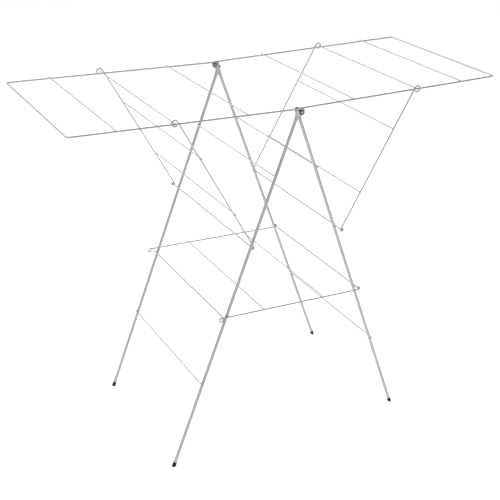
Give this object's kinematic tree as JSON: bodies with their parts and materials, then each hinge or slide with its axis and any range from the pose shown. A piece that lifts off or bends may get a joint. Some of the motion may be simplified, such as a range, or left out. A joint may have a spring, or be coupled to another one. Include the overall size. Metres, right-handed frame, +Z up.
{
  "type": "clothes drying rack",
  "caption": "Folding clothes drying rack: an A of crossing tube legs, wire wings on struts either side, and a low wire shelf between the legs.",
  "frame": {"origin": "on the floor, under the middle of the rack", "axes": "+X along the wings, +Y across the rack away from the side seen first, +Z up"},
  "size_m": [1.3654, 0.5746, 1.1111],
  "materials": {
    "white_coat": "semi-gloss white powder coat on steel tube and wire",
    "foot_rubber": "matt black moulded rubber",
    "pivot_nylon": "dark nylon",
    "cap_nut_steel": "bright zinc on steel"
  },
  "bodies": {
    "left_leg_frame": {"apex_bush_far": "pivot_nylon", "apex_bush_near": "pivot_nylon", "apex_cap_nut_far": "cap_nut_steel", "apex_cap_nut_near": "cap_nut_steel", "apex_pin_far": "white_coat", "apex_pin_near": "white_coat", "apex_spacer_far": "pivot_nylon", "apex_spacer_near": "pivot_nylon", "left_foot_cap_far": "foot_rubber", "left_foot_cap_near": "foot_rubber", "left_leg_lower_rung": "white_coat", "left_leg_tube_far": "white_coat", "left_leg_tube_near": "white_coat", "left_leg_upper_rung": "white_coat", "left_shelf_rod": "white_coat", "left_strut_rod": "white_coat"},
    "right_leg_frame": {"right_foot_cap_far": "foot_rubber", "right_foot_cap_near": "foot_rubber", "right_leg_lower_rung": "white_coat", "right_leg_tube_far": "white_coat", "right_leg_tube_near": "white_coat", "right_leg_upper_rung": "white_coat", "right_shelf_rod": "white_coat", "right_strut_rod": "white_coat"},
    "left_wing": {"left_wing_end_wire": "white_coat", "left_wing_hook_rung": "white_coat", "left_wing_inner_rung": "white_coat", "left_wing_outer_rung": "white_coat", "left_wing_side_wire_far": "white_coat", "left_wing_side_wire_near": "white_coat"},
    "right_wing": {"right_wing_end_wire": "white_coat", "right_wing_hook_rung": "white_coat", "right_wing_inner_rung": "white_coat", "right_wing_outer_rung": "white_coat", "right_wing_side_wire_far": "white_coat", "right_wing_side_wire_near": "white_coat"},
    "left_strut": {"left_strut_lower_rung": "white_coat", "left_strut_upper_rung": "white_coat", "left_strut_wire_far": "white_coat", "left_strut_wire_near": "white_coat"},
    "right_strut": {"right_strut_lower_rung": "white_coat", "right_strut_upper_rung": "white_coat", "right_strut_wire_far": "white_coat", "right_strut_wire_near": "white_coat"},
    "shelf": {"shelf_left_rung": "white_coat", "shelf_right_rung": "white_coat", "shelf_wire_far": "white_coat", "shelf_wire_near": "white_coat"}
  },
  "joints": [
    {"name": "leg_fold", "type": "hinge", "parent": "left_leg_frame", "child": "right_leg_frame", "pos_m": [0, 0, 1.079], "axis": [0, 1, 0], "range_deg": [0, 36]},
    {"name": "shelf_swing", "type": "hinge", "parent": "right_leg_frame", "child": "shelf", "pos_m": [0.2327, 0, 0.4738], "axis": [0, -1, 0], "range_deg": [0, 103.82]},
    {"name": "left_wing_fold", "type": "hinge", "parent": "left_leg_frame", "child": "left_wing", "pos_m": [0, 0, 1.079], "axis": [0, -1, 0], "range_deg": [0, 67.7]},
    {"name": "left_strut_swing", "type": "hinge", "parent": "left_leg_frame", "child": "left_strut", "pos_m": [-0.15096, 0, 0.69359], "axis": [0, -1, 0], "range_deg": [0, 127.95]},
    {"name": "right_wing_fold", "type": "hinge", "parent": "right_leg_frame", "child": "right_wing", "pos_m": [0, 0, 1.079], "axis": [0, 1, 0], "range_deg": [0, 67.7]},
    {"name": "right_strut_swing", "type": "hinge", "parent": "right_leg_frame", "child": "right_strut", "pos_m": [0.15096, 0, 0.69359], "axis": [0, 1, 0], "range_deg": [0, 127.95]}
  ],
  "couplings": [
    {"joint": "shelf_swing", "follows": "leg_fold", "ratio": 2.8833},
    {"joint": "left_strut_swing", "follows": "left_wing_fold", "ratio": 1.8896},
    {"joint": "right_strut_swing", "follows": "right_wing_fold", "ratio": 1.8896}
  ]
}
